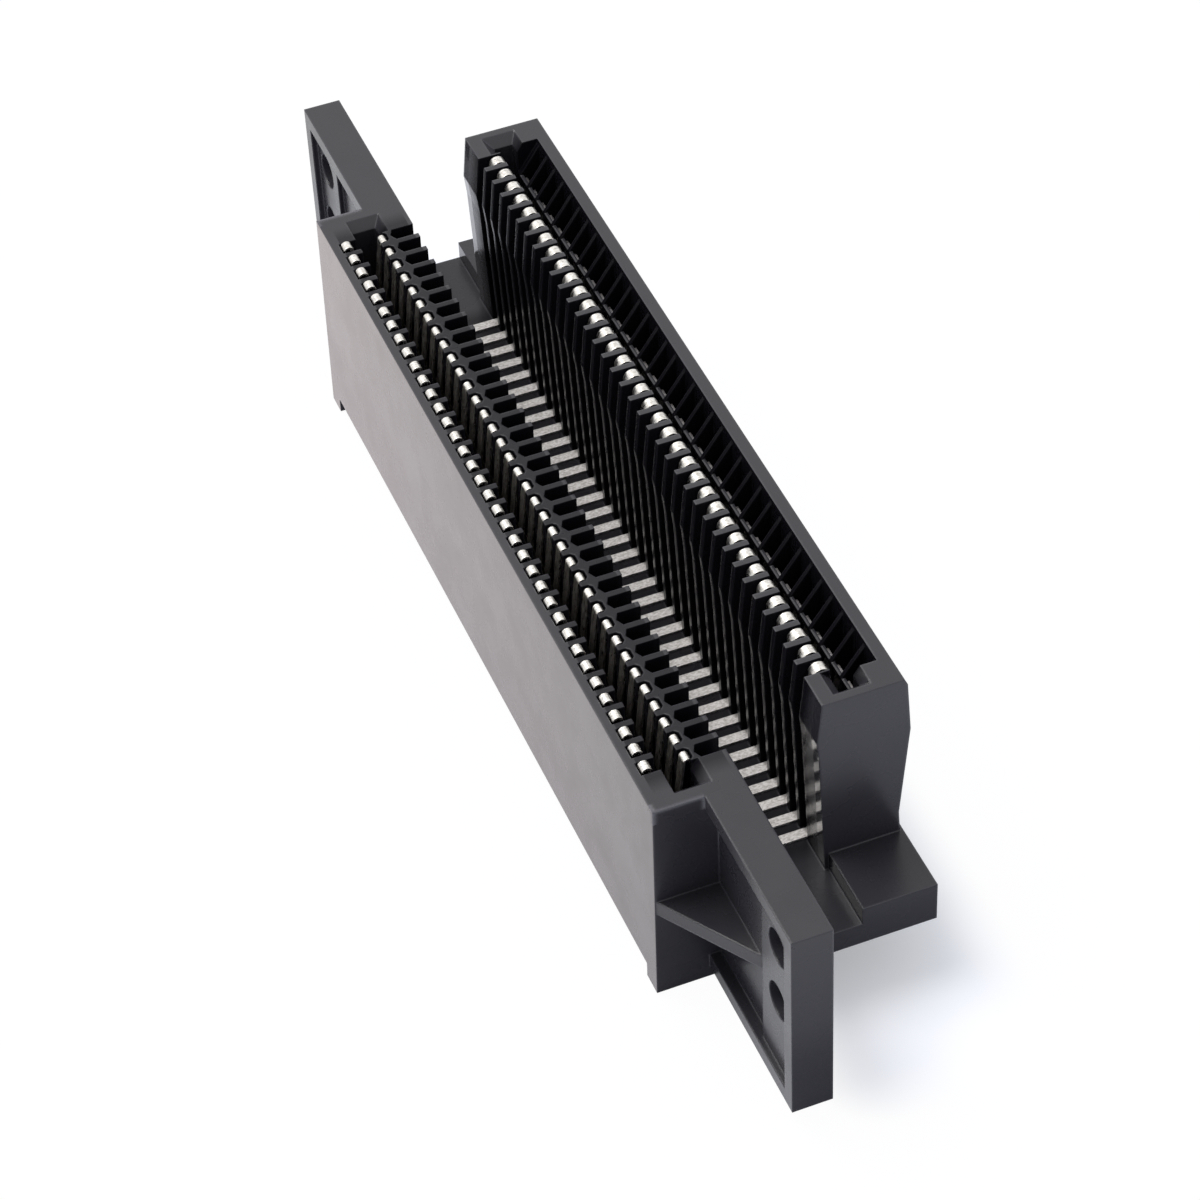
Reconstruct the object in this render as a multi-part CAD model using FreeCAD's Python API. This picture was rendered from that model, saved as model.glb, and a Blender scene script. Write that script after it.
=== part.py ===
import FreeCAD, Part
import math
import os

# Slot connector with two rows of contact positions in one black moulding.
# Row frame, in millimetres: X along the contact rows, Y from the board side to the
# cartridge side, Z up. The origin is the middle of the bottom of the whole part.

# Contact field
positions = 36
pitch = 2.5
field_margin = 0.4

# Contact strip
strip_width = 1.2
strip_thickness = 0.3

# Heights above the foot of the skirt
skirt_height = 6.55
run_recess = 0.8
base_thickness = 2.75
channel_floor_height = 11.7
deck_height = 26.25
wall_height = 32.7
pad_height = 2.2

# Board side, from the outer face inwards
overall_depth = 27.8
face_draft = 0.3
board_wall = 0.9
window_depth = 2.05
slot_width = 2.35
notch_depth = 1.15
notch_corner = 0.4
comb_web = 0.3
pocket_point = 0.45
comb_depth = 10.07
body_length = 99.3
slot_length = 94.0
slot_lead_in = 1.1
slot_end_widening = 0.7
slot_side_lead_in = 1.55
position_width = 1.8
comb_web_height = 10.0
skirt_depth = 6.6
skirt_wall = 1.2
skirt_end_wall = 2.6
skirt_rise = 1.8

# Cartridge side
gap_width = 8.28
wall_length = 97.8
wall_bulge = 0.53
wall_bulge_height = 18.24
wall_waist = 0.25
wall_waist_height = 15.8
wall_foot_setback = 0.35
wall_outer_draft = 0.4
wall_edge_width = 0.35
wall_edge_height = 0.8
wall_belly_height = 25.7
wall_foot_taper = 1.08
wall_foot_height = 14.2
wall_foot_step = 0.2
core_thickness = 0.95
core_drop = 1.5
notch_to_core = 1.35
finger_room = 0.35
channel_width = 2.2
channel_length = 93.8
channel_lead_in = 1.1
channel_far_lead_in = 0.7
bar_thickness = 0.38
bar_height = 0.6
bar_drop = 4.0
cell_depth = 2.12
cell_width = 2.05
fin_rim_drop = 0.5

# Base plate and its end pads
base_length = 114.0
base_setback = 0.6
pad_depth = 8.1

# Mounting ears
ear_span = 140.0
ear_depth = 4.32
ear_bottom = 1.5
ear_rim = 1.75
tray_depth = 1.3
boss_step = 0.6
boss_length = 8.6
gusset_reach = 10.6
gusset_height = 11.7
gusset_thickness = 1.8
screw_hole_radius = 2.1
screw_hole_span = 130.4
screw_hole_drop = 5.95
screw_hole_spacing = 7.7

# Contact shapes
tip_chords = 3
mitre_limit = 0.5
board_tip_radius = 0.45
board_tip_gap = 0.15
board_tip_rise = 0.4
comb_tip_radius = 0.32
comb_tip_reach = 0.65
comb_tip_drop = 0.5
hook_radius = 0.78
hook_drop = 0.05
hook_reach = 0.75
hook_reach_drop = 5.9
hook_end_drop = 10.9
board_bow = 0.55
comb_bow = 0.55
bow_drop = 6.05
bow_return_drop = 12.0
bar_tip_rise = 0.4
far_bow = 0.5
far_bow_drop = 8.5
far_bow_return_drop = 16.2

# Places worked out from the sizes above
field_end = positions * pitch / 2 + field_margin
base_bottom = skirt_height
floor_top = base_bottom + base_thickness
recess_top = base_bottom + run_recess
face_foot = -overall_depth / 2
face_top = face_foot + face_draft
window_back = face_top + board_wall
slot_near = window_back + window_depth
slot_far = slot_near + slot_width
notch_end = slot_far + notch_depth
pocket_tip = notch_end + comb_web
comb_end = face_foot + comb_depth
ear_front = comb_end - ear_depth
web_face = ear_front + tray_depth
wall_front = comb_end + gap_width
wall_back = overall_depth / 2 - wall_outer_draft
core_front = wall_front + notch_to_core
core_back = core_front + core_thickness
channel_near = core_back + finger_room
channel_far = channel_near + channel_width
bar_back = channel_far + bar_thickness
cell_back = bar_back + cell_depth
base_back = overall_depth / 2 - base_setback
bar_top = wall_height - bar_drop
bar_foot = bar_top - bar_height
rim_edge = wall_height - fin_rim_drop
overcut = 1.0


def block(x0, x1, y0, y1, z0, z1):
    """A box between two corners."""
    return Part.makeBox(x1 - x0, y1 - y0, z1 - z0, FreeCAD.Vector(x0, y0, z0))


def prism_along_x(outline, x0, x1):
    """An outline of (y, z) points drawn out from x0 to x1."""
    corners = [FreeCAD.Vector(x0, y, z) for y, z in outline]
    face = Part.Face(Part.makePolygon(corners + corners[:1]))
    return face.extrude(FreeCAD.Vector(x1 - x0, 0, 0))


def prism_along_z(outline, z0, z1):
    """An outline of (x, y) points drawn up from z0 to z1."""
    corners = [FreeCAD.Vector(x, y, z0) for x, y in outline]
    face = Part.Face(Part.makePolygon(corners + corners[:1]))
    return face.extrude(FreeCAD.Vector(0, 0, z1 - z0))


def funnel(x0, x1, y0, y1, top, lower, depth):
    """A mouth that narrows from one rectangle at the top to a lower one (x0, x1, y0, y1)."""
    upper = [(x0, y0), (x1, y0), (x1, y1), (x0, y1)]
    a0, a1, b0, b1 = lower
    under = [(a0, b0), (a1, b0), (a1, b1), (a0, b1)]
    wires = []
    for ring, height in ((upper, top), (under, top - depth)):
        corners = [FreeCAD.Vector(x, y, height) for x, y in ring]
        wires.append(Part.makePolygon(corners + corners[:1]))
    return Part.makeLoft(wires, True, True)


def position_centres():
    """The X of every contact position."""
    first = -(positions - 1) * pitch / 2
    return [first + index * pitch for index in range(positions)]


def board_body():
    """The block round the board slot, with its drafted outer face and the skirt below."""
    outline = [
        (face_foot, 0), (face_foot + skirt_depth, 0), (face_foot + skirt_depth, base_bottom),
        (comb_end, base_bottom), (comb_end, deck_height), (face_top, deck_height),
    ]
    return prism_along_x(outline, -body_length / 2, body_length / 2)


def skirt_trough():
    """The hollow of the skirt, open below, through which the contacts are pressed in."""
    end = body_length / 2 - skirt_end_wall
    return block(-end, end, window_back, face_foot + skirt_depth - skirt_wall, -overcut, recess_top)


def skirt_edge():
    """What is cleared below the skirt between the two end walls, which stand as feet."""
    end = body_length / 2 - skirt_end_wall
    return block(-end, end, face_foot - overcut, face_foot + skirt_depth + overcut, -overcut, skirt_rise)


def board_slot():
    """The slot for the board's edge, wider and funnelled beyond the last position at each end."""
    end = slot_length / 2
    mouth = end + slot_lead_in
    last_notch = max(position_centres()) + position_width / 2
    end_far = slot_far + slot_end_widening
    mouth_far = slot_far + slot_side_lead_in
    cuts = [block(-end, end, slot_near, slot_far, floor_top, deck_height + overcut)]
    for side in (-1, 1):
        x0, x1 = sorted((side * last_notch, side * end))
        cuts.append(block(x0, x1, slot_near, end_far, floor_top, deck_height + overcut))
        m0, m1 = sorted((side * last_notch, side * mouth))
        cuts.append(funnel(m0, m1, slot_near, mouth_far, deck_height, (x0, x1, slot_near, end_far), slot_lead_in))
    return cuts


def comb_cuts(x):
    """One position of the comb: window, notch, pointed pocket and the way under the web."""
    side = position_width / 2
    top = deck_height + overcut
    window = block(x - side, x + side, window_back, slot_near, base_bottom, top)
    notch = prism_along_z([
        (x - side, slot_far), (x + side, slot_far), (x + side, notch_end - notch_corner),
        (x + side - notch_corner, notch_end), (x - side + notch_corner, notch_end), (x - side, notch_end - notch_corner),
    ], floor_top, top)
    shoulder = pocket_tip + pocket_point
    pocket = prism_along_z([
        (x - side, comb_end), (x - side, shoulder), (x, pocket_tip), (x + side, shoulder), (x + side, comb_end),
    ], floor_top, top)
    under_web = block(x - side, x + side, slot_far, shoulder, floor_top, floor_top + comb_web_height)
    return [window, notch, pocket, under_web]


def cartridge_wall():
    """The tall wall that the cartridge slides over, waisted inside and bellied outside."""
    belly = overall_depth / 2
    outline = [
        (wall_front + wall_foot_setback, floor_top),
        (wall_front - wall_bulge + wall_waist, floor_top + wall_waist_height),
        (wall_front - wall_bulge, floor_top + wall_bulge_height),
        (wall_front, wall_height),
        (wall_back - wall_edge_width, wall_height),
        (wall_back, wall_height - wall_edge_height),
        (belly, wall_belly_height),
        (belly - wall_foot_taper, wall_foot_height),
        (base_back - wall_foot_step, floor_top),
    ]
    return prism_along_x(outline, -wall_length / 2, wall_length / 2)


def channel():
    """The channel for the cartridge's board, with a funnel mouth at both ends."""
    end = channel_length / 2
    cuts = [block(-end, end, channel_near, channel_far, channel_floor_height, wall_height + overcut)]
    mouth = end + channel_lead_in
    last_cell = max(position_centres()) + cell_width / 2
    for side in (-1, 1):
        x0, x1 = sorted((side * last_cell, side * mouth))
        a0, a1 = sorted((side * last_cell, side * end))
        lower = (a0, a1, channel_near, channel_far)
        cuts.append(funnel(
            x0, x1, channel_near - channel_lead_in, channel_far + channel_far_lead_in,
            wall_height, lower, channel_lead_in,
        ))
    return cuts


def cell_roof():
    """What is open above the sloping fins of the outer cells and above the bar."""
    outline = [
        (channel_far, bar_top), (cell_back, rim_edge),
        (cell_back, wall_height + overcut), (channel_far, wall_height + overcut),
    ]
    return prism_along_x(outline, -field_end, field_end)


def wall_cuts(x):
    """One position of the wall: front notch, hook saddle, finger notch and outer cell."""
    half = position_width / 2
    side = cell_width / 2
    top = wall_height + overcut
    front = block(x - half, x + half, wall_front - wall_bulge, core_front, floor_top, top)
    saddle = block(x - half, x + half, core_front, core_back, wall_height - core_drop, top)
    finger = block(x - half, x + half, core_back, channel_near, channel_floor_height, top)
    under_bar = block(x - side, x + side, channel_far, bar_back, recess_top, bar_foot)
    over_bar = block(x - side, x + side, channel_far, bar_back, bar_top, top)
    cell = block(x - side, x + side, bar_back, cell_back, recess_top, top)
    return [front, saddle, finger, under_bar, over_bar, cell]


def base_plate():
    """The floor between the comb and the wall, with a raised pad at each end."""
    plate = block(-base_length / 2, base_length / 2, comb_end - overcut, base_back, base_bottom, floor_top)
    pieces = [plate]
    for side in (-1, 1):
        x0, x1 = sorted((side * (wall_length / 2 - overcut), side * base_length / 2))
        pieces.append(block(x0, x1, base_back - pad_depth, base_back, floor_top, floor_top + pad_height))
    return pieces


def run_recess_cut():
    """The shallow recess under the floor in which the outer contacts run across."""
    start = face_foot + skirt_depth - skirt_wall - overcut
    return block(-field_end, field_end, start, cell_back, base_bottom - overcut, recess_top)


def ear(side):
    """One mounting ear: a tray open to the board side, with a boss step and a gusset."""
    inner = body_length / 2
    outer = ear_span / 2
    x0, x1 = sorted((side * (inner - overcut), side * outer))
    plate = block(x0, x1, ear_front, comb_end, ear_bottom, deck_height)
    low = ear_bottom + ear_rim
    high = deck_height - ear_rim
    boss_edge = outer - boss_length
    t0, t1 = sorted((side * inner, side * boss_edge))
    b0, b1 = sorted((side * boss_edge, side * (outer - ear_rim)))
    deep_tray = block(t0, t1, ear_front - overcut, web_face, low, high)
    boss_tray = block(b0, b1, ear_front - overcut, web_face - boss_step, low, high)
    shape = plate.cut([deep_tray, boss_tray])
    gusset = prism_along_z([
        (side * (inner - overcut), face_top), (side * inner, face_top),
        (side * (inner + gusset_reach), web_face), (side * (inner - overcut), web_face),
    ], gusset_height, gusset_height + gusset_thickness)
    return shape.fuse(gusset)


def screw_holes():
    """Two screw holes through each ear."""
    tools = []
    high = deck_height - screw_hole_drop
    for x in (-screw_hole_span / 2, screw_hole_span / 2):
        for z in (high, high - screw_hole_spacing):
            start = FreeCAD.Vector(x, ear_front - overcut, z)
            length = ear_depth + 2 * overcut
            tools.append(Part.makeCylinder(screw_hole_radius, length, start, FreeCAD.Vector(0, 1, 0)))
    return tools


def housing():
    """The whole moulding: one piece."""
    solid = board_body().fuse([cartridge_wall(), ear(-1), ear(1)] + base_plate()).removeSplitter()
    tools = [skirt_trough(), skirt_edge(), cell_roof(), run_recess_cut()] + board_slot() + channel() + screw_holes()
    for x in position_centres():
        tools += comb_cuts(x)
        tools += wall_cuts(x)
    return solid.cut(tools).removeSplitter()


def round_points(y, z, radius, start, end):
    """Points of a round stretch about (y, z), from one angle to another in degrees."""
    angles = [math.radians(start + (end - start) * step / tip_chords) for step in range(tip_chords + 1)]
    return [(y + radius * math.cos(angle), z + radius * math.sin(angle)) for angle in angles]


def strip_outline(route):
    """The outline of a bent strip whose centre line follows the route."""
    half = strip_thickness / 2
    left, right = [], []
    for index, (y, z) in enumerate(route):
        before = route[max(index - 1, 0)]
        after = route[min(index + 1, len(route) - 1)]
        steps = []
        for a, b in ((before, (y, z)), ((y, z), after)):
            length = math.hypot(b[0] - a[0], b[1] - a[1])
            if length > 0:
                steps.append(((b[0] - a[0]) / length, (b[1] - a[1]) / length))
        ny = -sum(step[1] for step in steps)
        nz = sum(step[0] for step in steps)
        size = math.hypot(ny, nz)
        ny, nz = ny / size, nz / size
        reach = half / max(-steps[0][1] * ny + steps[0][0] * nz, mitre_limit)
        left.append((y + ny * reach, z + nz * reach))
        right.append((y - ny * reach, z - nz * reach))
    return left + right[::-1]


def strip(route, x):
    """One bent strip centred on x."""
    return prism_along_x(strip_outline(route), x - strip_width / 2, x + strip_width / 2)


def inner_route():
    """From the comb row down to the floor, across it and up to the hook over the wall's core."""
    half = strip_thickness / 2
    tip_z = deck_height - comb_tip_drop - comb_tip_radius - half
    tip_y = slot_far + comb_tip_reach
    leg_y = notch_end - half
    floor_z = floor_top + half
    arm_y = core_front - half
    hook_y = arm_y + hook_radius
    hook_z = wall_height - hook_drop - half - hook_radius
    return (
        round_points(tip_y, tip_z, comb_tip_radius, 0, 180)
        + [(slot_far - comb_bow + half, deck_height - bow_drop), (leg_y, deck_height - bow_return_drop)]
        + [(leg_y, floor_z), (arm_y, floor_z)]
        + round_points(hook_y, hook_z, hook_radius, 180, 0)
        + [(hook_y + hook_radius + hook_reach, wall_height - hook_reach_drop)]
        + [(hook_y + hook_radius, wall_height - hook_end_drop)]
    )


def outer_route():
    """From the window row down through the body, under the floor and up to the bar."""
    half = strip_thickness / 2
    tip_z = deck_height + board_tip_rise - half - board_tip_radius
    tip_y = window_back + board_tip_gap + half + board_tip_radius
    leg_y = window_back + half
    run_z = recess_top - half
    far_y = cell_back - half
    return (
        round_points(tip_y, tip_z, board_tip_radius, 180, 0)
        + [(slot_near + board_bow - half, deck_height - bow_drop), (leg_y, deck_height - bow_return_drop)]
        + [(leg_y, run_z), (far_y, run_z)]
        + [(far_y, wall_height - far_bow_return_drop), (channel_far - far_bow + half, wall_height - far_bow_drop)]
        + [(bar_back + half, bar_foot - half), (bar_back + half, bar_top + bar_tip_rise)]
    )


def save(shape, node):
    """Writes one sub-part."""
    shape.exportStep(os.path.join("parts", node + ".step"))


def main():
    os.makedirs("parts", exist_ok=True)
    save(housing(), "housing")
    centres = position_centres()
    for number, x in enumerate(centres, start=1):
        save(strip(inner_route(), x), f"inner_contact_{number:02d}")
    for first in range(0, positions, 2):
        pair = [strip(outer_route(), x) for x in centres[first:first + 2]]
        save(Part.makeCompound(pair), f"outer_contacts_{first + 1:02d}_{first + len(pair):02d}")


main()
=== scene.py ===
import math

import bmesh
import bpy
from mathutils import Matrix, Vector


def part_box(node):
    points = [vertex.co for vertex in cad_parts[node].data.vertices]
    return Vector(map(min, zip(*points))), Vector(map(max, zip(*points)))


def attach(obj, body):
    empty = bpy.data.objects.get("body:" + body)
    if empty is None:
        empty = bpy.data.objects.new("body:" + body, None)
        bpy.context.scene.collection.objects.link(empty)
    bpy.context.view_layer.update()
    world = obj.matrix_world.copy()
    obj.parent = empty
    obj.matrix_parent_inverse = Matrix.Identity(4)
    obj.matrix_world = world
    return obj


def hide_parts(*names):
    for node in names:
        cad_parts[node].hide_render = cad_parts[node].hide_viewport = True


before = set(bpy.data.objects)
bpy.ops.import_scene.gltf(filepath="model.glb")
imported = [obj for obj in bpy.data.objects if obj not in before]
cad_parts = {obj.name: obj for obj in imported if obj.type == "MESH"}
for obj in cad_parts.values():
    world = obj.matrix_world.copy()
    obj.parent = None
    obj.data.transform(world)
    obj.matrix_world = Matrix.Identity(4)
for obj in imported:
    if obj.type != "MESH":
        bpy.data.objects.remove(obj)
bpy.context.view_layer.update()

MM = 0.001

# Camera, as found from the photograph's rows of contacts
CAMERA_PLACE = Vector((287.66, -103.05, 299.98)) * MM
CAMERA_TARGET = Vector((10.751, -3.787, 16.35)) * MM
CAMERA_ROLL = -3.062
CAMERA_LENS = 117.36
CAMERA_CLIP = 0.01
SENSOR_WIDTH = 36.0

# Studio
FLOOR_SIZE = 3.0
FLOOR_DROP = 0.0002
FLOOR_COLOUR = (0.87, 0.9, 1.0, 1.0)
FLOOR_ROUGHNESS = 0.6
FLOOR_GLOSS = 0.2
WORLD_LIGHT = 0.75
WORLD_SEEN = 0.95
WORLD_COLOUR = (0.95, 0.965, 1.0, 1.0)
WHITE = (1.0, 1.0, 1.0, 1.0)
KEY_PLACE = Vector((-0.25, -0.25, 0.85))
KEY_SIZE = 0.6
KEY_WATTS = 7.0
KEY_COLOUR = (1.0, 0.965, 0.92)

# The table shows pure white but for the shadow close to the part: centre and half size
# of the shaded patch, the width over which it fades, and the lift inside and outside it
SEEN_SHADOW = ((0.0, 0.009, 0.0), (0.067, 0.006, 0.0), 0.008, 0.32, 0.97)
# Painted shade: in reflections the table's glow fades out over a wider patch, so the part's end faces
# reflect less light there
REFLECTED_PAINTED_SHADE = ((0.0, 0.03, 0.0), (0.07, 0.02, 0.0), 0.045, 0.0, 0.9)

# Relief and mottling of both materials
RELIEF_STRENGTH = 0.35
NOISE_SPAN = (0.3, 0.7)

# Moulding: places in metres, in the row frame. A pair is a range of places, or of values.
PLASTIC = (0.026, 0.0255, 0.031, 1.0)
# Painted shade: the darker colour of the recessed contact field
PLASTIC_PAINTED_SHADE = (0.005, 0.0045, 0.0065, 1.0)
# Painted highlight: the paler colour along rounded edges
PLASTIC_EDGE_HIGHLIGHT = (0.17, 0.17, 0.2, 1.0)
PLASTIC_IOR = 1.5
PLASTIC_GLOSS = 0.5
SATIN = (0.24, 0.31)
CLOUD_SCALE = 260.0
CLOUD_DETAIL = 5.0
GRAIN_SCALE = 2200.0
GRAIN_DETAIL = 2.0
GRAIN_DEPTH = 0.004 * MM
UPWARD = 0.7

# Its rounded edges: radius, samples, and how far the paler edge colour, a painted highlight, shows; fully
# along the near block's top edge
EDGE_RADIUS = 0.3 * MM
EDGE_SAMPLES = 6
EDGE_TURN = (0.75, 0.99)
EDGE_HIGHLIGHT_SHARE = 0.3
FIELD_EDGE_HIGHLIGHT = 0.3
BLOCK_EDGE_RADIUS = 0.9 * MM
BLOCK_START = 0.0485
BLOCK_BACK = -0.0082
BLOCK_TOP = 0.0245

# Its end faces, with painted shade towards the foot, painted shade on all faces low down, and the polished
# inner ends of the wall
END_FACE = 0.0474
END_TURN = (0.6, 0.8)
FOOT_FADE = (0.006, 0.03)
FOOT_SHADE = (0.2, 0.72)
LOW_FADE = (0.009, 0.014)
LOW_DOWN_SHADE = 0.66
POLISHED_START = 0.003
POLISHED_FACING = -0.5
POLISHED_ROUGHNESS = 0.1
POLISHED_GAIN = 2.4

# Painted shade over the field of fins, windows and cells, without the rims: darker and less glossy, less so
# on faces that look up
FIELD_FADE = 0.002
FIELD_SHADED_GLOSS = 0.07
FIELD_TOPS_SHADE = 0.6
FIELD_DEPTH = 0.0125
FIELD_FLOOR = 0.008
RIM_HEIGHT = 0.02
COMBS_OFFSET = 0.0085
COMBS_HALF = 0.0042

# Painted sheen: an extra warm glossy reflection on its long board-side face, stronger at the far end, in
# place of brighter light from that side
SHEEN_COLOUR = (1.0, 0.86, 0.82, 1.0)
SHEEN_ROUGHNESS = 0.3
SHEEN_BLEND = 0.5
SHEEN_TURN = (0.5, 0.9)
SHEEN_SPAN = (-0.049, 0.049)
SHEEN_SHARE = (0.34, 0.14)
SHEEN_EDGE = (-0.0134, -0.0132)

# Plating: colours, and the heights in millimetres at which they change; the darker colour down the arms is
# painted shade
BRIGHT = (0.95, 0.93, 0.89)
# Painted shade: the darker colour down the arms, in the slot
SHADED_PLATING = (0.34, 0.31, 0.26)
RUNG = (0.66, 0.655, 0.66)
# Painted shade: the darker colour of the strips on the bar side, down in the cells
BAR_SIDE_SHADE = (0.42, 0.4, 0.41, 1.0)
RUNG_RISE = 0.35
LEG_RISE = 1.2
SHADE_DROP = 7.5
BRIGHT_DROP = 3.0
RUNG_ROUGHNESS = 0.55
LEG_ROUGHNESS = 0.35
TIP_ROUGHNESS = 0.3
BAR_SIDE_SHADE_FADE = 0.1
SCRATCH_STRETCH = (4200.0, 2400.0, 900.0)
SCRATCH_DETAIL = 3.0
SCRATCH_DEPTH = 0.01 * MM
SCRATCH_SHARE = (0.78, 1.18)
STREAK_STRETCH = (5200.0, 3000.0, 900.0)
STREAK_DETAIL = 5.0
STREAK_SPAN = (0.32, 0.62)
STREAK_COLOUR = (0.6, 0.585, 0.57, 1.0)

# Contact strip, in millimetres, in the row frame
STRIP_THICKNESS = 0.3
STRIP_EDGE = 0.05 * MM
STRIP_EDGE_STEPS = 2
STRIP_EDGE_ANGLE = 60
HALF = STRIP_THICKNESS / 2
ARC_STEPS = 14
BEND_STEPS = 6
BEND_RADIUS = 0.45
BEND_SHARE = 0.45
LEAST_TURN = 2
LEAST_BEND = 0.01
DECK = 26.25
WALL = 32.7
FLOOR_TOP = 9.3
RECESS_TOP = 7.35
WINDOW_BACK = -12.7
SLOT_NEAR = -10.65
SLOT_FAR = -8.3
NOTCH_END = -7.15
CORE_FRONT = 5.8
CHANNEL_FAR = 9.3
BAR_BACK = 9.68
BAR_TOP = 28.7
BAR_FOOT = 28.1
CELL_BACK = 11.8
BOARD_TIP_RADIUS = 0.45
BOARD_TIP_GAP = 0.15
BOARD_TIP_RISE = 0.4
BOARD_BOW = 0.55
COMB_TIP_RADIUS = 0.34
COMB_TIP_REACH = 0.55
COMB_TIP_DROP = 0.1
COMB_BOW = 0.55
BOW_DROP = 6.05
BOW_RETURN_DROP = 12.0
HOOK_RADIUS = 0.78
HOOK_DROP = 0.05
HOOK_REACH = 0.75
HOOK_REACH_DROP = 5.9
HOOK_END_DROP = 10.9
FAR_BOW = 0.5
FAR_BOW_DROP = 8.5
FAR_BOW_RETURN_DROP = 16.2
BAR_TIP_RISE = -0.1


def principled(name, metallic=0.0):
    """A new material with one Principled shader, and its node tree's handles."""
    material = bpy.data.materials.new(name)
    material.use_nodes = True
    shader = material.node_tree.nodes["Principled BSDF"]
    shader.inputs["Metallic"].default_value = metallic
    return material, material.node_tree, shader


def noise(tree, coordinate, scale, detail, stretch=(1.0, 1.0, 1.0)):
    """A noise texture's factor in object space, with its coordinates stretched."""
    mapping = tree.nodes.new("ShaderNodeMapping")
    mapping.inputs["Scale"].default_value = stretch
    texture = tree.nodes.new("ShaderNodeTexNoise")
    texture.inputs["Scale"].default_value = scale
    texture.inputs["Detail"].default_value = detail
    tree.links.new(coordinate.outputs["Object"], mapping.inputs["Vector"])
    tree.links.new(mapping.outputs["Vector"], texture.inputs["Vector"])
    return texture.outputs["Fac"]


def bump(tree, source, shader, distance):
    """A fine relief from a texture's factor."""
    node = tree.nodes.new("ShaderNodeBump")
    node.inputs["Strength"].default_value = RELIEF_STRENGTH
    node.inputs["Distance"].default_value = distance
    tree.links.new(source, node.inputs["Height"])
    tree.links.new(node.outputs["Normal"], shader.inputs["Normal"])
    return node


def feed(tree, socket, value):
    """Sets an input to a fixed value, or links it to an output."""
    if isinstance(value, bpy.types.NodeSocket):
        tree.links.new(value, socket)
    else:
        socket.default_value = value


def math_step(tree, operation, first, second=0.0):
    """One step of arithmetic; the second operand may be a fixed value or an output."""
    node = tree.nodes.new("ShaderNodeMath")
    node.operation = operation
    tree.links.new(first, node.inputs[0])
    feed(tree, node.inputs[1], second)
    return node.outputs["Value"]


def times(tree, first, *others):
    """The product of an output and one or more others."""
    for other in others:
        first = math_step(tree, "MULTIPLY", first, other)
    return first


def size(tree, source):
    """A value without its sign."""
    return math_step(tree, "ABSOLUTE", source)


def over(tree, source, limit):
    """1 where a value is over the limit, otherwise 0."""
    return math_step(tree, "GREATER_THAN", source, limit)


def under(tree, source, limit):
    """1 where a value is under the limit, otherwise 0."""
    return math_step(tree, "LESS_THAN", source, limit)


def ranged(tree, source, start, end, low, high):
    """A value carried from one range to another; the new ends may be values or outputs."""
    node = tree.nodes.new("ShaderNodeMapRange")
    node.inputs["From Min"].default_value = start
    node.inputs["From Max"].default_value = end
    feed(tree, node.inputs["To Min"], low)
    feed(tree, node.inputs["To Max"], high)
    tree.links.new(source, node.inputs["Value"])
    return node.outputs["Result"]


def where(tree, mask, value, otherwise=1.0):
    """The value where a mask is 1, and the other value where it is 0."""
    return ranged(tree, mask, 0.0, 1.0, otherwise, value)


def mixed(tree, share, first, second, blend="MIX"):
    """A mix of two colours; each operand may be fixed or an output."""
    node = tree.nodes.new("ShaderNodeMixRGB")
    node.blend_type = blend
    for index, value in enumerate((share, first, second)):
        feed(tree, node.inputs[index], value)
    return node.outputs["Color"]


def parts_of(tree, vector):
    """The X, Y and Z outputs of a vector output."""
    node = tree.nodes.new("ShaderNodeSeparateXYZ")
    tree.links.new(vector, node.inputs["Vector"])
    return node.outputs["X"], node.outputs["Y"], node.outputs["Z"]


def contact_field_shade(tree, reach, y, z, upward):
    """The mask of painted shade over the contact field, darker and less glossy, without the rims around it.
    """
    from_combs = size(tree, math_step(tree, "ADD", y, COMBS_OFFSET))
    rim = times(tree, upward, over(tree, z, RIM_HEIGHT), over(tree, from_combs, COMBS_HALF))
    along_rows = ranged(tree, reach, END_FACE - FIELD_FADE, END_FACE, 1.0, 0.0)
    inside = times(tree, under(tree, size(tree, y), FIELD_DEPTH), over(tree, z, FIELD_FLOOR))
    level = times(tree, where(tree, rim, 0.0), where(tree, upward, FIELD_TOPS_SHADE))
    return times(tree, along_rows, inside, level)


def painted_board_side_sheen(tree, x, y, normal):
    """The painted warm sheen shader of the long board-side face, stronger at the far end, and its share at
    grazing angles.
    """
    sheen = tree.nodes.new("ShaderNodeBsdfGlossy")
    sheen.inputs["Color"].default_value = SHEEN_COLOUR
    sheen.inputs["Roughness"].default_value = SHEEN_ROUGHNESS
    tree.links.new(normal, sheen.inputs["Normal"])
    weight = tree.nodes.new("ShaderNodeLayerWeight")
    weight.inputs["Blend"].default_value = SHEEN_BLEND
    grazing = ranged(tree, weight.outputs["Facing"], *SHEEN_TURN, 0.0, 1.0)
    along = ranged(tree, x, *SHEEN_SPAN, *SHEEN_SHARE)
    outer = ranged(tree, y, *SHEEN_EDGE, 1.0, 0.0)
    return sheen.outputs["BSDF"], times(tree, grazing, along, outer)


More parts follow.
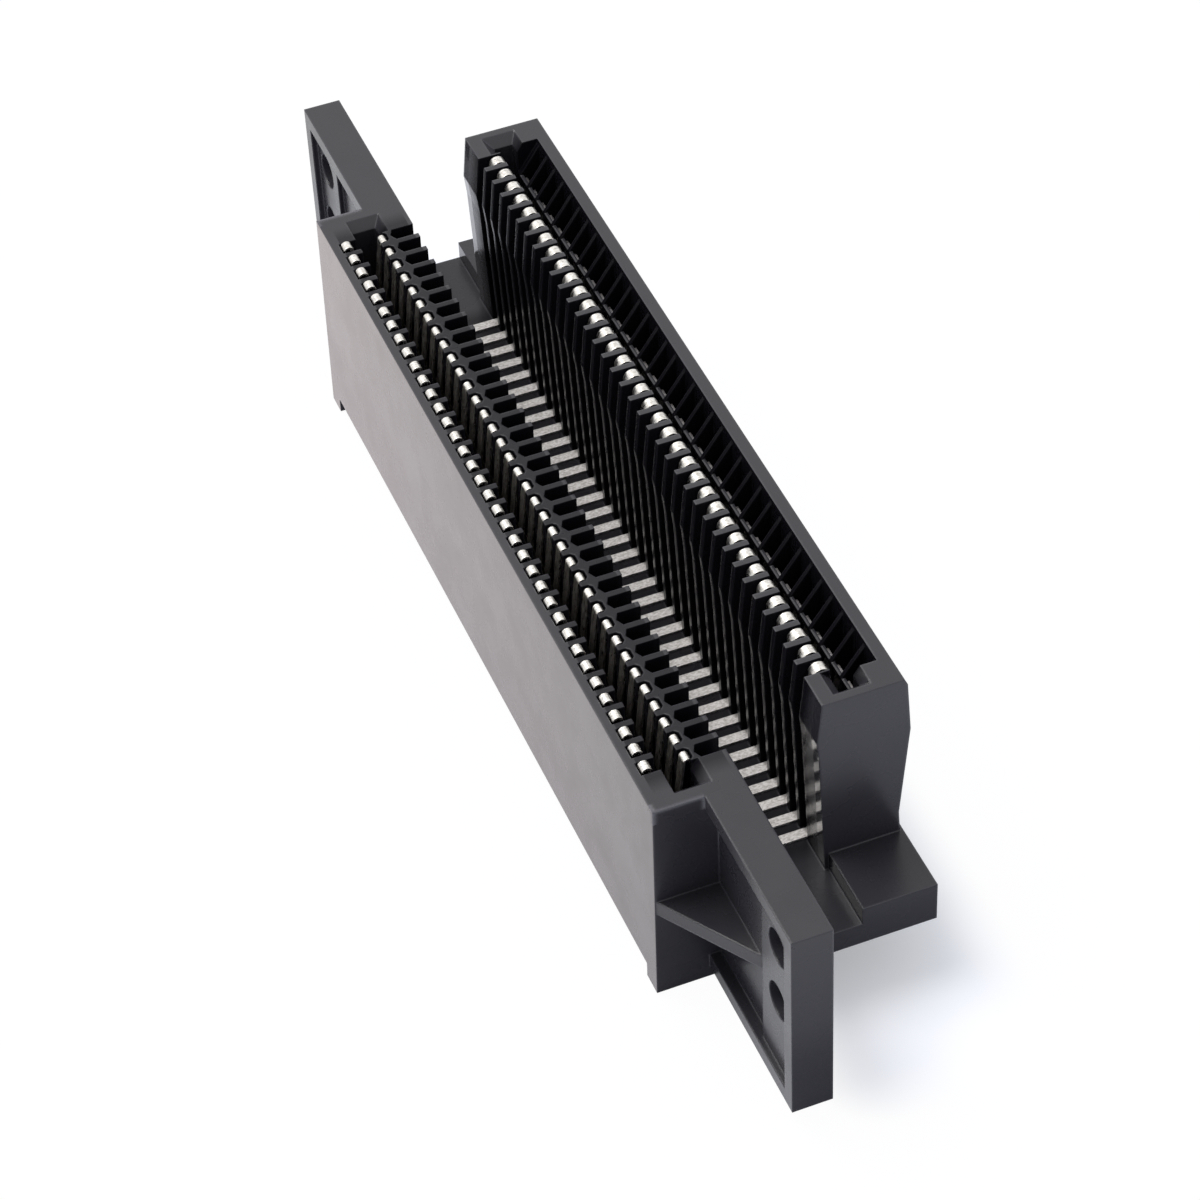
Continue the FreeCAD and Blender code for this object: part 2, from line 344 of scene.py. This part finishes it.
def black_plastic():
    """Satin black moulding with softly rounded edges.

    The long board-side face has a painted warm sheen at grazing angles, stronger at the far end; the end
    faces have painted shade towards the foot, as do all faces low down; the contact field has painted shade;
    the edges have a painted highlight; and the wall's inner ends are polished.
    """
    material, tree, shader = principled("black_plastic")
    shader.inputs["IOR"].default_value = PLASTIC_IOR
    coordinate = tree.nodes.new("ShaderNodeTexCoord")
    x, y, z = parts_of(tree, coordinate.outputs["Object"])
    facing_x, facing_y, facing_z = parts_of(tree, coordinate.outputs["Normal"])
    reach = size(tree, x)
    # field: the mask of painted shade over the contact field
    field = contact_field_shade(tree, reach, y, z, over(tree, facing_z, UPWARD))

    # Painted shade: end faces reflect less towards the foot, and all faces reflect less low down
    endways = ranged(tree, size(tree, facing_x), *END_TURN, 0.0, 1.0)
    end_face_shade = where(tree, endways, ranged(tree, z, *FOOT_FADE, *FOOT_SHADE))
    low_down_shade = ranged(tree, z, *LOW_FADE, LOW_DOWN_SHADE, 1.0)
    gloss_and_shade = times(tree, end_face_shade, low_down_shade, where(tree, field, FIELD_SHADED_GLOSS, PLASTIC_GLOSS))
    polished = times(tree, over(tree, reach, END_FACE), under(tree, facing_y, POLISHED_FACING),
                     over(tree, y, POLISHED_START))
    satin = ranged(tree, noise(tree, coordinate, CLOUD_SCALE, CLOUD_DETAIL), *NOISE_SPAN, *SATIN)
    feed(tree, shader.inputs["Roughness"], where(tree, polished, POLISHED_ROUGHNESS, satin))
    feed(tree, shader.inputs["Specular IOR Level"],
         times(tree, gloss_and_shade, where(tree, polished, POLISHED_GAIN)))

    relief = bump(tree, noise(tree, coordinate, GRAIN_SCALE, GRAIN_DETAIL), shader, GRAIN_DEPTH)
    rounding = tree.nodes.new("ShaderNodeBevel")
    rounding.samples = EDGE_SAMPLES
    tree.links.new(rounding.outputs["Normal"], relief.inputs["Normal"])
    block_top = times(tree, over(tree, reach, BLOCK_START), under(tree, y, BLOCK_BACK),
                      over(tree, z, BLOCK_TOP))
    feed(tree, rounding.inputs["Radius"], where(tree, block_top, BLOCK_EDGE_RADIUS, EDGE_RADIUS))

    surface = tree.nodes.new("ShaderNodeNewGeometry")
    flatness = tree.nodes.new("ShaderNodeVectorMath")
    flatness.operation = "DOT_PRODUCT"
    tree.links.new(surface.outputs["True Normal"], flatness.inputs[0])
    tree.links.new(rounding.outputs["Normal"], flatness.inputs[1])
    # Painted highlight: a paler colour where the rounded normal turns away from the face, full along the
    # near block's top edge
    edge_highlight_share = ranged(tree, flatness.outputs["Value"], *EDGE_TURN,
                        where(tree, block_top, 1.0, EDGE_HIGHLIGHT_SHARE), 0.0)
    # body: the plastic colour, darkened by painted shade over the contact field
    body = mixed(tree, field, PLASTIC, PLASTIC_PAINTED_SHADE)
    edges = times(tree, edge_highlight_share, where(tree, field, FIELD_EDGE_HIGHLIGHT))
    feed(tree, shader.inputs["Base Color"], mixed(tree, edges, body, PLASTIC_EDGE_HIGHLIGHT))

    # Painted sheen: a warm glossy reflection mixed in on the board-side face, stronger at the far end
    sheen, share = painted_board_side_sheen(tree, x, y, relief.outputs["Normal"])
    mix = tree.nodes.new("ShaderNodeMixShader")
    for index, output in enumerate((share, shader.outputs["BSDF"], sheen)):
        tree.links.new(output, mix.inputs[index])
    tree.links.new(mix.outputs["Shader"], tree.nodes["Material Output"].inputs["Surface"])
    return material


def by_height(tree, z, stops):
    """Colours between heights of the part, in millimetres."""
    low, high = stops[0][0], stops[-1][0]
    ramp = tree.nodes.new("ShaderNodeValToRGB")
    elements = ramp.color_ramp.elements
    while len(elements) < len(stops):
        elements.new(0.5)
    for element, (height, colour) in zip(elements, stops):
        element.position = (height - low) / (high - low)
        element.color = (*colour, 1.0)
    tree.links.new(ranged(tree, z, low * MM, high * MM, 0.0, 1.0), ramp.inputs["Fac"])
    return ramp.outputs["Color"]


def plated_strip():
    """Tin-like plating: bright at the tips, darker down the arms by painted shade, satin and scratched at
    the floor, with painted shade on the bar side.
    """
    material, tree, shader = principled("plated_strip", metallic=1.0)
    coordinate = tree.nodes.new("ShaderNodeTexCoord")
    _, y, z = parts_of(tree, coordinate.outputs["Object"])
    rung, leg = FLOOR_TOP + RUNG_RISE, FLOOR_TOP + LEG_RISE
    # Painted shade: the plating darkens down the arms below the deck
    tone_and_shade = by_height(tree, z, [
        (rung, RUNG), (leg, SHADED_PLATING), (DECK - SHADE_DROP, SHADED_PLATING), (DECK - BRIGHT_DROP, BRIGHT),
        (WALL, BRIGHT),
    ])
    satin = by_height(tree, z, [
        (rung, (RUNG_ROUGHNESS,) * 3), (leg, (LEG_ROUGHNESS,) * 3), (WALL, (TIP_ROUGHNESS,) * 3),
    ])
    scratch = noise(tree, coordinate, 1.0, SCRATCH_DETAIL, SCRATCH_STRETCH)
    wear = ranged(tree, scratch, *NOISE_SPAN, *SCRATCH_SHARE)
    feed(tree, shader.inputs["Roughness"], times(tree, satin, wear))

    streaks = tree.nodes.new("ShaderNodeValToRGB")
    for element, place, colour in zip(streaks.color_ramp.elements, STREAK_SPAN, (STREAK_COLOUR, WHITE)):
        element.position = place
        element.color = colour
    tree.links.new(noise(tree, coordinate, 1.0, STREAK_DETAIL, STREAK_STRETCH), streaks.inputs["Fac"])
    tinted = mixed(tree, 1.0, tone_and_shade, streaks.outputs["Color"], "MULTIPLY")
    # Painted shade on the strips beyond the channel, down in the cells behind the bar
    bar_side = ranged(tree, y, (CHANNEL_FAR - BAR_SIDE_SHADE_FADE) * MM, (CHANNEL_FAR + BAR_SIDE_SHADE_FADE) * MM, 0.0, 1.0)
    feed(tree, shader.inputs["Base Color"], mixed(tree, bar_side, tinted, BAR_SIDE_SHADE))
    bump(tree, scratch, shader, SCRATCH_DEPTH)
    return material


def arc(y, z, radius, start, end):
    """Points of a round stretch about (y, z), between two angles in degrees."""
    turn = (end - start) / ARC_STEPS
    angles = [math.radians(start + turn * step) for step in range(ARC_STEPS + 1)]
    return [(y + radius * math.cos(angle), z + radius * math.sin(angle)) for angle in angles]


def rounded(route):
    """The route with each corner between straight stretches turned into a small bend."""
    result = [route[0]]
    for before, corner, after in zip(route, route[1:], route[2:]):
        a, b, c = Vector(before), Vector(corner), Vector(after)
        into, out = (b - a), (c - b)
        turn = into.angle(out)
        reach = min(BEND_RADIUS * math.tan(turn / 2), into.length * BEND_SHARE, out.length * BEND_SHARE)
        if turn < math.radians(LEAST_TURN) or reach < LEAST_BEND:
            result.append(corner)
            continue
        start, end = b - into.normalized() * reach, b + out.normalized() * reach
        for step in range(BEND_STEPS + 1):
            t = step / BEND_STEPS
            point = start * (1 - t) ** 2 + b * 2 * t * (1 - t) + end * t ** 2
            result.append((point.x, point.y))
    result.append(route[-1])
    return result


def inner_route():
    """From the comb row down to the floor, across it and up to the hook over the wall's core."""
    tip = (SLOT_FAR + COMB_TIP_REACH, DECK - COMB_TIP_DROP - HALF - COMB_TIP_RADIUS)
    leg = NOTCH_END - HALF
    floor = FLOOR_TOP + HALF
    arm = CORE_FRONT - HALF
    hook = (arm + HOOK_RADIUS, WALL - HOOK_DROP - HALF - HOOK_RADIUS)
    lower = [
        (SLOT_FAR - COMB_BOW + HALF, DECK - BOW_DROP), (leg, DECK - BOW_RETURN_DROP),
        (leg, floor), (arm, floor),
    ]
    finger = [
        (hook[0] + HOOK_RADIUS + HOOK_REACH, WALL - HOOK_REACH_DROP),
        (hook[0] + HOOK_RADIUS, WALL - HOOK_END_DROP),
    ]
    return rounded(arc(*tip, COMB_TIP_RADIUS, 0, 180) + lower + arc(*hook, HOOK_RADIUS, 180, 0) + finger)


def outer_route():
    """From the window row down through the body, under the floor and up to the bar."""
    tip = (WINDOW_BACK + BOARD_TIP_GAP + HALF + BOARD_TIP_RADIUS,
           DECK + BOARD_TIP_RISE - HALF - BOARD_TIP_RADIUS)
    leg = WINDOW_BACK + HALF
    run = RECESS_TOP - HALF
    far = CELL_BACK - HALF
    back = BAR_BACK + HALF
    return rounded(arc(*tip, BOARD_TIP_RADIUS, 180, 0) + [
        (SLOT_NEAR + BOARD_BOW - HALF, DECK - BOW_DROP), (leg, DECK - BOW_RETURN_DROP),
        (leg, run), (far, run),
        (far, WALL - FAR_BOW_RETURN_DROP), (CHANNEL_FAR - FAR_BOW + HALF, WALL - FAR_BOW_DROP),
        (back, BAR_FOOT - HALF), (back, BAR_TOP + BAR_TIP_RISE),
    ])


def strip_sides(route):
    """Both edges of the strip's outline, at half its thickness from the route."""
    left, right = [], []
    for index, point in enumerate(route):
        here = Vector(point)
        before = Vector(route[max(index - 1, 0)])
        after = Vector(route[min(index + 1, len(route) - 1)])
        along = (after - before).normalized()
        offset = Vector((-along.y, along.x)) * HALF
        left.append(here + offset)
        right.append(here - offset)
    return left, right


def strip_mesh(name, route, stretches):
    """A mesh of bent strips that follow one route, one for each (x0, x1) stretch, in metres."""
    left, right = strip_sides(route)
    work = bmesh.new()
    for x0, x1 in stretches:
        rings = []
        for a, b in zip(left, right):
            corners = ((x0, a), (x1, a), (x1, b), (x0, b))
            rings.append([work.verts.new((x, p.x * MM, p.y * MM)) for x, p in corners])
        for ring, following in zip(rings, rings[1:]):
            for i in range(4):
                work.faces.new((ring[i], ring[(i + 1) % 4], following[(i + 1) % 4], following[i]))
        work.faces.new(rings[0][::-1])
        work.faces.new(rings[-1])
    bmesh.ops.recalc_face_normals(work, faces=work.faces)
    mesh = bpy.data.meshes.new(name)
    work.to_mesh(mesh)
    work.free()
    for face in mesh.polygons:
        face.use_smooth = True
    return mesh


def contact_piece(node, route, count, width, plated):
    """A smoothly bent strip, or a pair, in place of one carried-over contact node."""
    low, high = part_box(node)
    stretches = [(low[0], low[0] + width), (high[0] - width, high[0])][:count]
    mesh = strip_mesh("bent_" + node, route, stretches)
    mesh.materials.append(plated)
    piece = bpy.data.objects.new("bent_" + node, mesh)
    bpy.context.scene.collection.objects.link(piece)
    edge = piece.modifiers.new("edge", "BEVEL")
    edge.width = STRIP_EDGE
    edge.segments = STRIP_EDGE_STEPS
    edge.limit_method = "ANGLE"
    edge.angle_limit = math.radians(STRIP_EDGE_ANGLE)
    edge.harden_normals = True
    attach(piece, "root")
    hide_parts(node)


def ray_kinds(tree):
    """Outputs that are 1 for camera rays, and for glossy and transmission rays."""
    path = tree.nodes.new("ShaderNodeLightPath")
    mirrored = math_step(tree, "MAXIMUM", path.outputs["Is Glossy Ray"], path.outputs["Is Transmission Ray"])
    return path.outputs["Is Camera Ray"], mirrored


def white_world():
    """A pale surround that lights the part, and shows white to the camera and in reflections."""
    world = bpy.data.worlds.new("white_surround")
    bpy.context.scene.world = world
    world.use_nodes = True
    tree = world.node_tree
    background = tree.nodes["Background"]
    background.inputs["Color"].default_value = WORLD_COLOUR
    background.inputs["Strength"].default_value = WORLD_LIGHT
    seen = tree.nodes.new("ShaderNodeBackground")
    seen.inputs["Color"].default_value = WHITE
    seen.inputs["Strength"].default_value = WORLD_SEEN
    mix = tree.nodes.new("ShaderNodeMixShader")
    tree.links.new(math_step(tree, "MAXIMUM", *ray_kinds(tree)), mix.inputs[0])
    tree.links.new(background.outputs[0], mix.inputs[1])
    tree.links.new(seen.outputs[0], mix.inputs[2])
    tree.links.new(mix.outputs[0], tree.nodes["World Output"].inputs[0])


def vector_math(tree, operation, first, second=None):
    """One vector step; the second operand, where there is one, is a fixed value."""
    node = tree.nodes.new("ShaderNodeVectorMath")
    node.operation = operation
    tree.links.new(first, node.inputs[0])
    if second is not None:
        node.inputs[1].default_value = second
    return node.outputs["Value"] if operation == "LENGTH" else node.outputs["Vector"]


def lift_away(tree, place, centre, reach, fade, near, away):
    """How far the table is lifted to white at a place, from the shaded patch outwards."""
    offset = vector_math(tree, "SUBTRACT", place, centre)
    outside = vector_math(tree, "SUBTRACT", vector_math(tree, "ABSOLUTE", offset), reach)
    distance = vector_math(tree, "LENGTH", vector_math(tree, "MAXIMUM", outside, (0.0, 0.0, 0.0)))
    lift = ranged(tree, distance, 0.0, fade, near, away)
    lift.node.interpolation_type = "SMOOTHSTEP"
    return lift


def studio_floor():
    """A plain white table just under the part's foot, with a shadow close around it."""
    bpy.ops.mesh.primitive_plane_add(size=FLOOR_SIZE, location=(0, 0, -FLOOR_DROP))
    floor = bpy.context.object
    floor.name = "studio_floor"
    material, tree, shader = principled("white_table")
    shader.inputs["Base Color"].default_value = FLOOR_COLOUR
    shader.inputs["Roughness"].default_value = FLOOR_ROUGHNESS
    shader.inputs["Specular IOR Level"].default_value = FLOOR_GLOSS
    glow = tree.nodes.new("ShaderNodeEmission")
    place = tree.nodes.new("ShaderNodeTexCoord").outputs["Object"]
    seen, mirrored = ray_kinds(tree)
    # A painted white glow, fading out near the part where its shadow shows; in reflections it fades over a
    # wider patch, painted shade on the part's end faces
    share = math_step(
        tree, "MAXIMUM",
        times(tree, lift_away(tree, place, *SEEN_SHADOW), seen),
        times(tree, lift_away(tree, place, *REFLECTED_PAINTED_SHADE), mirrored),
    )
    mix = tree.nodes.new("ShaderNodeMixShader")
    for index, output in enumerate((share, shader.outputs["BSDF"], glow.outputs["Emission"])):
        tree.links.new(output, mix.inputs[index])
    tree.links.new(mix.outputs["Shader"], tree.nodes["Material Output"].inputs["Surface"])
    floor.data.materials.append(material)


def key_lamp():
    """One large soft lamp overhead, a little to the board side."""
    light = bpy.data.lights.new("key", "AREA")
    light.shape = "DISK"
    light.size = KEY_SIZE
    light.energy = KEY_WATTS
    light.color = KEY_COLOUR
    lamp = bpy.data.objects.new("key", light)
    bpy.context.scene.collection.objects.link(lamp)
    lamp.location = KEY_PLACE
    lamp.rotation_euler = (-KEY_PLACE).to_track_quat("-Z", "Y").to_euler()


def camera():
    """The photograph's viewpoint."""
    data = bpy.data.cameras.new("camera")
    data.sensor_width = SENSOR_WIDTH
    data.sensor_fit = "HORIZONTAL"
    data.lens = CAMERA_LENS
    data.clip_start = CAMERA_CLIP
    place = bpy.data.objects.new("camera", data)
    bpy.context.scene.collection.objects.link(place)
    level = (CAMERA_TARGET - CAMERA_PLACE).to_track_quat("-Z", "Y").to_matrix().to_4x4()
    roll = Matrix.Rotation(math.radians(CAMERA_ROLL), 4, "Z")
    place.matrix_world = Matrix.Translation(CAMERA_PLACE) @ level @ roll
    bpy.context.scene.camera = place


plated = plated_strip()
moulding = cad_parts["housing"]
moulding.data.materials.clear()
moulding.data.materials.append(black_plastic())

first_low, first_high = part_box("inner_contact_01")
strip_width = first_high[0] - first_low[0]
for name in sorted(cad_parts):
    if name.startswith("inner_contact"):
        contact_piece(name, inner_route(), 1, strip_width, plated)
    elif name.startswith("outer_contacts"):
        contact_piece(name, outer_route(), 2, strip_width, plated)

white_world()
studio_floor()
key_lamp()
camera()
bpy.context.scene.view_settings.view_transform = "Standard"
